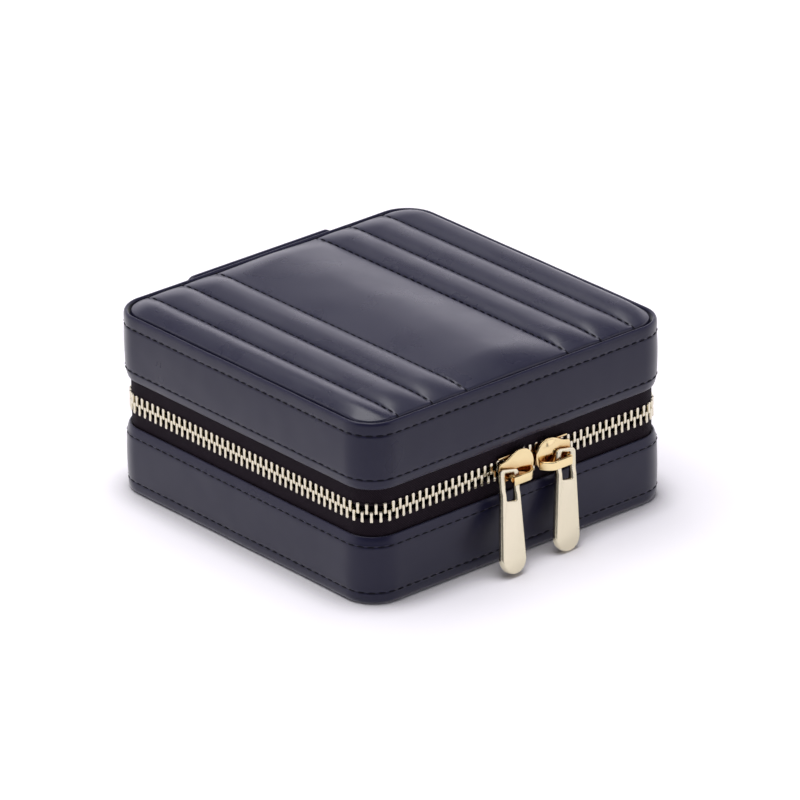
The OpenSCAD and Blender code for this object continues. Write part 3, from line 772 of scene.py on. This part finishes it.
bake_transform(strap_thread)

# Zip sliders: die-cast bodies of gilt zinc, two plates with rails between them, nose to nose on the front.
# A bent bridge stands on each one and carries the pull tab. Both are drawn as the right one, from the line
# where the two noses meet and from the middle of the chain.
front_y = -(case_half - path_in)
plate_t = 1.1
channel_half = 1.5
plate_y = front_y - channel_half - plate_t
nose_u, tail_u = 0.45, 13.95
nose_half, tail_half, front_tail_half = 5.3, 4.1, 2.7
front_edge, back_edge = 0.35, 0.3
crown_r, crown_rise = 4.5, 0.55
rail_from, rail_to, rail_t, rail_edge = 6.0, tail_u - 0.4, 0.6, 0.15
rail_in, rail_out = 0.6, channel_half + 0.1
wedge_from, wedge_to, wedge_half, wedge_edge = 1.2, 5.0, 0.8, 0.25
# Lacquered gilt on a casting: to the eye warm and bright, with wavy reflections; the brown in its recesses is painted
# shade
slider_gilt = gilt("gilt zinc", "#ead6a5", 0.11, 1.3, "#a8691c")


def stamped(outlines, thickness, edge):
    """Metal cut to an outline with holes and its edges rolled over, lying flat: points and faces in millimetres."""
    curve = bpy.data.curves.new("stamping", "CURVE")
    curve.dimensions = "2D"
    curve.fill_mode = "BOTH"
    curve.extrude = thickness / 2 - edge
    curve.bevel_depth = edge
    curve.offset = -edge
    curve.bevel_resolution = 2
    for outline in outlines:
        spline = curve.splines.new("POLY")
        spline.points.add(len(outline) - 1)
        spline.points.foreach_set("co", [c for p in outline for c in (p[0], p[1], 0, 1)])
        spline.use_cyclic_u = True
    blank = bpy.data.objects.new("stamping", curve)
    bpy.context.scene.collection.objects.link(blank)
    mesh = bpy.data.meshes.new_from_object(blank.evaluated_get(bpy.context.evaluated_depsgraph_get()))
    shape = [v.co.copy() for v in mesh.vertices], [list(f.vertices) for f in mesh.polygons]
    bpy.data.objects.remove(blank)
    bpy.data.curves.remove(curve)
    bpy.data.meshes.remove(mesh)
    return shape


def placed(shape, matrix):
    """A shape moved to its place."""
    return [matrix @ Vector(p) for p in shape[0]], shape[1]


def joined(*shapes):
    """Several shapes as one."""
    points, faces = [], []
    for some, sides in shapes:
        faces += [[k + len(points) for k in f] for f in sides]
        points += some
    return points, faces


# Flat work stood upright, its upper face to the front
upright = Matrix.Rotation(math.pi / 2, 4, "X")


def plate_outline(head, tail):
    """Teardrop outline of a slider plate: a round head at the nose, drawn in to its tail."""
    centre = nose_u + head
    upper = []
    for a in range(180, 89, -9):
        upper.append((centre + head * math.cos(math.radians(a)), head * math.sin(math.radians(a))))
    for k in range(1, 11):
        t = k / 10
        upper.append((centre + (tail_u - 0.7 - centre) * t, tail + (head - tail) * (1 - t * t * (3 - 2 * t))))
    upper += [(tail_u - 0.2, tail - 0.25), (tail_u, tail - 0.8)]
    return upper + [(u, -v) for u, v in reversed(upper[1:])]


def circle(cx, cy, r, steps):
    """Points round a circle."""
    turns = [2 * math.pi * k / steps for k in range(steps)]
    return [(cx + r * math.cos(a), cy + r * math.sin(a)) for a in turns]


def crown():
    """The low round dome cast on the head of the front plate, lying flat."""
    return skinned([[(u, v, crown_rise * (1 - k * k)) for u, v in circle(nose_u + nose_half, 0, crown_r * k, 32)]
                    for k in (1.0, 0.9, 0.75, 0.55, 0.3, 0.1)])


def on_the_front(shape, side):
    """A slider's shape set on the zip, on its own side of the meeting line."""
    return placed(shape, Matrix.Translation((meet_x, 0, chain_z)) @ Matrix.Diagonal((side, 1, 1, 1)))


def slider(side):
    """The two plates, the crown, the rails and the wedge between them."""
    front = placed(stamped([plate_outline(nose_half, front_tail_half)], plate_t, front_edge),
                   Matrix.Translation((0, plate_y + plate_t / 2, 0)) @ upright)
    back = placed(stamped([plate_outline(nose_half, tail_half)], plate_t, back_edge),
                  Matrix.Translation((0, front_y + channel_half + plate_t / 2, 0)) @ upright)
    dome = placed(crown(), Matrix.Translation((0, plate_y, 0)) @ upright)
    rails = []
    for z in (-1, 1):
        for y0, y1 in ((front_y - rail_out, front_y - rail_in), (front_y + rail_in, front_y + rail_out)):
            low = (rail_from, y0, z * tail_half - (rail_t if z > 0 else 0))
            high = (rail_to, y1, z * tail_half + (rail_t if z < 0 else 0))
            rails.append(soft_block(low, high, rail_edge))
    wedge = soft_block((wedge_from, front_y - channel_half, -wedge_half),
                       (wedge_to, front_y + channel_half, wedge_half), wedge_edge)
    return on_the_front(joined(front, back, dome, wedge, *rails), side)


bridge_gap, bridge_t, bridge_h, bridge_drop, bridge_edge = 2.7, 1.0, 2.8, 1.8, 0.35
post_u, post_d, post_sunk = 11.2, 2.0, 0.3
# The band lies a little lower than the post, and is at its full height after one part in spring of its length
band_low, band_from, band_to, spring = 0.7, nose_u + 1.5, post_u + 0.3, 2.6


def bridge(side):
    """The bent bridge: a band that springs from the plate at the nose and runs to the round post."""
    rise = bridge_gap + bridge_t / 2
    middle = []
    for k in range(25):
        t = k / 24
        up = math.sin(min(1.0, t * spring) * math.pi / 2) ** 0.7
        middle.append((band_from + (band_to - band_from) * t, plate_y - rise * min(1.0, up)))
    outline = []
    for track in (middle, middle[::-1]):
        for k, (u, y) in enumerate(track):
            a, b = track[max(0, k - 1)], track[min(len(track) - 1, k + 1)]
            ahead = Vector((b[0] - a[0], b[1] - a[1])).normalized()
            outline.append((u + ahead.y * bridge_t / 2, y - ahead.x * bridge_t / 2))
    band = placed(stamped([outline], bridge_h, bridge_edge), Matrix.Translation((0, 0, -bridge_drop - band_low)))
    post = skinned([[(u, plate_y - d, z) for u, z in circle(post_u, -bridge_drop, post_d / 2, 20)]
                    for d in (0, bridge_gap + post_sunk)])
    return on_the_front(joined(band, post), side)


for word, side in (("left", -1), ("right", 1)):
    piece(f"{word}_casting", slider(side), slider_gilt, f"{word}_slider", (f"{word}_slider_body",),
          crisp=True)
    piece(f"{word}_arch", bridge(side), slider_gilt, f"{word}_slider", (f"{word}_slider_bridge",),
          crisp=True)

# Pull tabs: flat blades of pale gilt steel that widen to a round end.
# Each is stamped in one piece with the square eye by which it hangs on the post of its bridge.
tab_reach, tab_top_half, tab_end_r, tab_t = 28.6, 3.9, 5.0, 2.0
shoulder_r, tab_edge = 1.6, 0.62
eye_t, eye_w, eye_drop, eye_bar, eye_corner = 1.0, 3.6, 6.8, 1.2, 0.3
eye_rise = 1.3
eye_shift = 0.6
# The eye is pressed thin from this far below the post, over this length
thin_from, thin_over = 5.8, 2.5
# It hangs at this share of the post's length
hang_share = 0.53
tab_y = plate_y - bridge_gap * hang_share
tab_z = chain_z - bridge_drop


def arc(cx, cy, r, first, last, steps):
    """Points of an arc, angles in degrees."""
    return [(cx + r * math.cos(math.radians(first + (last - first) * k / steps)),
             cy + r * math.sin(math.radians(first + (last - first) * k / steps))) for k in range(steps + 1)]


def pull_tab(side, lean, splay):
    """A tab cut in one piece with its eye, and pressed thinner where it passes under the bridge."""
    top = eye_rise + eye_bar
    down = [-1.0 * k for k in range(1, 6)]
    x, y = tab_top_half - shoulder_r, top - shoulder_r
    outer = arc(x, y, shoulder_r, 0, 90, 6) + arc(-x, y, shoulder_r, 90, 180, 6)
    outer += [(-tab_top_half, v) for v in down] + arc(0, tab_end_r - tab_reach, tab_end_r, 183, 357, 28)
    outer += [(tab_top_half, v) for v in reversed(down)]
    w = eye_w / 2
    x, y, low_y = w - eye_corner, eye_rise - eye_corner, -eye_drop + eye_corner
    hole = arc(x, y, eye_corner, 0, 90, 3) + arc(-x, y, eye_corner, 90, 180, 3) + [(-w, v) for v in down]
    hole += arc(-x, low_y, eye_corner, 180, 270, 3) + arc(x, low_y, eye_corner, 270, 360, 3)
    hole += [(w, v) for v in reversed(down)]
    points, faces = stamped([outer, hole], tab_t, tab_edge)
    for p in points:
        share = max(0.0, min(1.0, (p.y + thin_from) / thin_over))
        p.z *= 1 + (eye_t / tab_t - 1) * share * share * (3 - 2 * share)
    turn = (Matrix.Translation((meet_x + side * post_u, tab_y, tab_z))
            @ Matrix.Rotation(math.radians(lean), 4, "Y") @ Matrix.Rotation(math.radians(-splay), 4, "X")
            @ Matrix.Translation((-eye_shift, 0, 0)) @ upright)
    return placed((points, faces), turn)


# Steel with a thin flash of gold: to the eye smooth and pale, and the white round it shows blurred
tab_gilt = gilt("pale gilt steel", "#ddd5bb", 0.25)
for word, side, lean, splay in (("left", -1, 12.5, 17), ("right", 1, 10.5, 12)):
    piece(f"{word}_tab", pull_tab(side, lean, splay), tab_gilt, f"{word}_pull", (f"{word}_pull_tab",),
          crisp=True)

# Studio: a white floor that keeps the shadow, a tall white backdrop that stands open behind the camera,
# and a soft box overhead. The world is dim, so that only what faces the backdrop shines.
far = 6000
backdrop_r, backdrop_h, backdrop_steps = 4000, 4000, 70
open_from_deg, open_to_deg = 175, 285
# How bright the backdrop is at each height: (height, share)
backdrop_fade = ((0, 0.92), (1300, 1.0), (1850, 0.97), (3100, 0.25), (backdrop_h, 0.22))
# How open a spot of the floor is where its own light is out, and where it is whole
shade_from, shade_to = 0.58, 0.93
dim = 0.23


def white_paper(name, glow, fade=None, close=None):
    """Matt paper, to the eye plain white, that the camera, metal and glass also see by its own light.

    That light may change with height, by the stops of fade, and go out within the distance close of the case, which
    paints a dark contact shadow there.
    """
    finish = bpy.data.materials.new(name)
    finish.use_nodes = True
    tree = finish.node_tree
    tree.nodes.clear()
    paper = add_node(tree, "ShaderNodeBsdfDiffuse", {"Color": linear("#efedf0")})
    rays = add_node(tree, "ShaderNodeLightPath").outputs
    level = rays["Is Camera Ray"]
    for other in (rays["Is Glossy Ray"], rays["Is Transmission Ray"]):
        level = add_node(tree, "ShaderNodeMath", {0: level, 1: other}, operation="MAXIMUM").outputs[0]
    shares = [glow]
    if fade:
        top = fade[-1][0]
        place = add_node(tree, "ShaderNodeTexCoord").outputs["Object"]
        height = add_node(tree, "ShaderNodeSeparateXYZ", {"Vector": place}).outputs["Z"]
        part = add_node(tree, "ShaderNodeMath", {0: height, 1: top * MM}, operation="DIVIDE")
        share = add_node(tree, "ShaderNodeValToRGB", {"Fac": part.outputs[0]})
        stops = share.color_ramp.elements
        for at, light in fade:
            stop = stops[0] if at == 0 else stops[-1] if at == top else stops.new(at / top)
            stop.color = (light, light, light, 1)
        shares.append(share.outputs["Color"])
    if close:
        # Painted contact shadow: near the case the floor's own light goes out, except as metal and glass see it
        clear = add_node(tree, "ShaderNodeAmbientOcclusion", {"Distance": close * MM}, samples=16).outputs["AO"]
        lit = add_node(tree, "ShaderNodeMapRange", {"Value": clear, "From Min": shade_from, "From Max": shade_to})
        shares.append(add_node(tree, "ShaderNodeMath", {0: lit.outputs["Result"], 1: rays["Is Glossy Ray"]},
                               operation="MAXIMUM").outputs[0])
    for share in shares:
        level = add_node(tree, "ShaderNodeMath", {0: level, 1: share}, operation="MULTIPLY").outputs[0]
    own = add_node(tree, "ShaderNodeEmission", {"Color": linear("#f8f5ff"), "Strength": level})
    both = add_node(tree, "ShaderNodeAddShader", {0: paper.outputs[0], 1: own.outputs[0]})
    add_node(tree, "ShaderNodeOutputMaterial", {"Surface": both.outputs[0]})
    return finish


floor = piece("floor", ([(-far, -far, 0), (far, -far, 0), (far, far, 0), (-far, far, 0)], [(0, 1, 2, 3)]),
              white_paper("white floor", 0.3255, close=12))
sweep = 360 + open_from_deg - open_to_deg
turns = [math.radians(open_to_deg + sweep * k / backdrop_steps) for k in range(backdrop_steps + 1)]
ring = [(backdrop_r * math.cos(a), backdrop_r * math.sin(a), z) for z in (0, backdrop_h) for a in turns]
sides = [(k, k + 1, backdrop_steps + 2 + k, backdrop_steps + 1 + k) for k in range(backdrop_steps)]
backdrop = piece("backdrop", (ring, sides), white_paper("white backdrop", 0.9975, backdrop_fade))
world = bpy.data.worlds.new("studio")
bpy.context.scene.world = world
world.use_nodes = True
sky = world.node_tree.nodes["Background"]
sky.inputs["Color"].default_value = linear("#f9f8ff")
rays = add_node(world.node_tree, "ShaderNodeLightPath").outputs
level = add_node(world.node_tree, "ShaderNodeMath", {0: rays["Is Camera Ray"], 1: dim}, operation="MAXIMUM")
world.node_tree.links.new(level.outputs[0], sky.inputs["Strength"])


def soft_light(name, place, size, power, colour):
    """A square soft box aimed at the case."""
    lamp = bpy.data.lights.new(name, "AREA")
    lamp.shape = "SQUARE"
    lamp.size = size
    lamp.energy = power
    lamp.color = colour
    made = bpy.data.objects.new(name, lamp)
    made.location = place
    made.rotation_euler = (Vector((0, 0, 0.03)) - Vector(place)).to_track_quat("-Z", "Y").to_euler()
    bpy.context.scene.collection.objects.link(made)


soft_light("overhead soft box", (-0.12, 0.4, 2.3), 2.1, 51, (1, 0.99, 1))

# Camera: a long lens on a stand, a little over two metres from the case, at the angle of the photograph.
# It is turned slightly about its own axis, and its frame is shifted to that of the photograph.
aim = Vector((0, 0, 28.08 * MM))
distance = 2313.54 * MM
azimuth, elevation, roll = math.radians(-40.333), math.radians(24.635), math.radians(-0.830)
lens_data = bpy.data.cameras.new("camera")
lens_data.sensor_width = 36
lens_data.lens = 344.97
lens_data.shift_x, lens_data.shift_y = 0.01126, 0.00604
lens_data.clip_end = 20
back = Vector((math.sin(azimuth) * math.cos(elevation), -math.cos(azimuth) * math.cos(elevation), math.sin(elevation)))
right = Vector((math.cos(azimuth), math.sin(azimuth), 0))
up = back.cross(right)
right, up = right * math.cos(roll) + up * math.sin(roll), up * math.cos(roll) - right * math.sin(roll)
camera = bpy.data.objects.new("camera", lens_data)
camera.matrix_world = Matrix.Translation(aim + back * distance) @ Matrix((right, up, back)).transposed().to_4x4()
bpy.context.scene.collection.objects.link(camera)
bpy.context.scene.camera = camera
bpy.context.scene.view_settings.view_transform = "Standard"
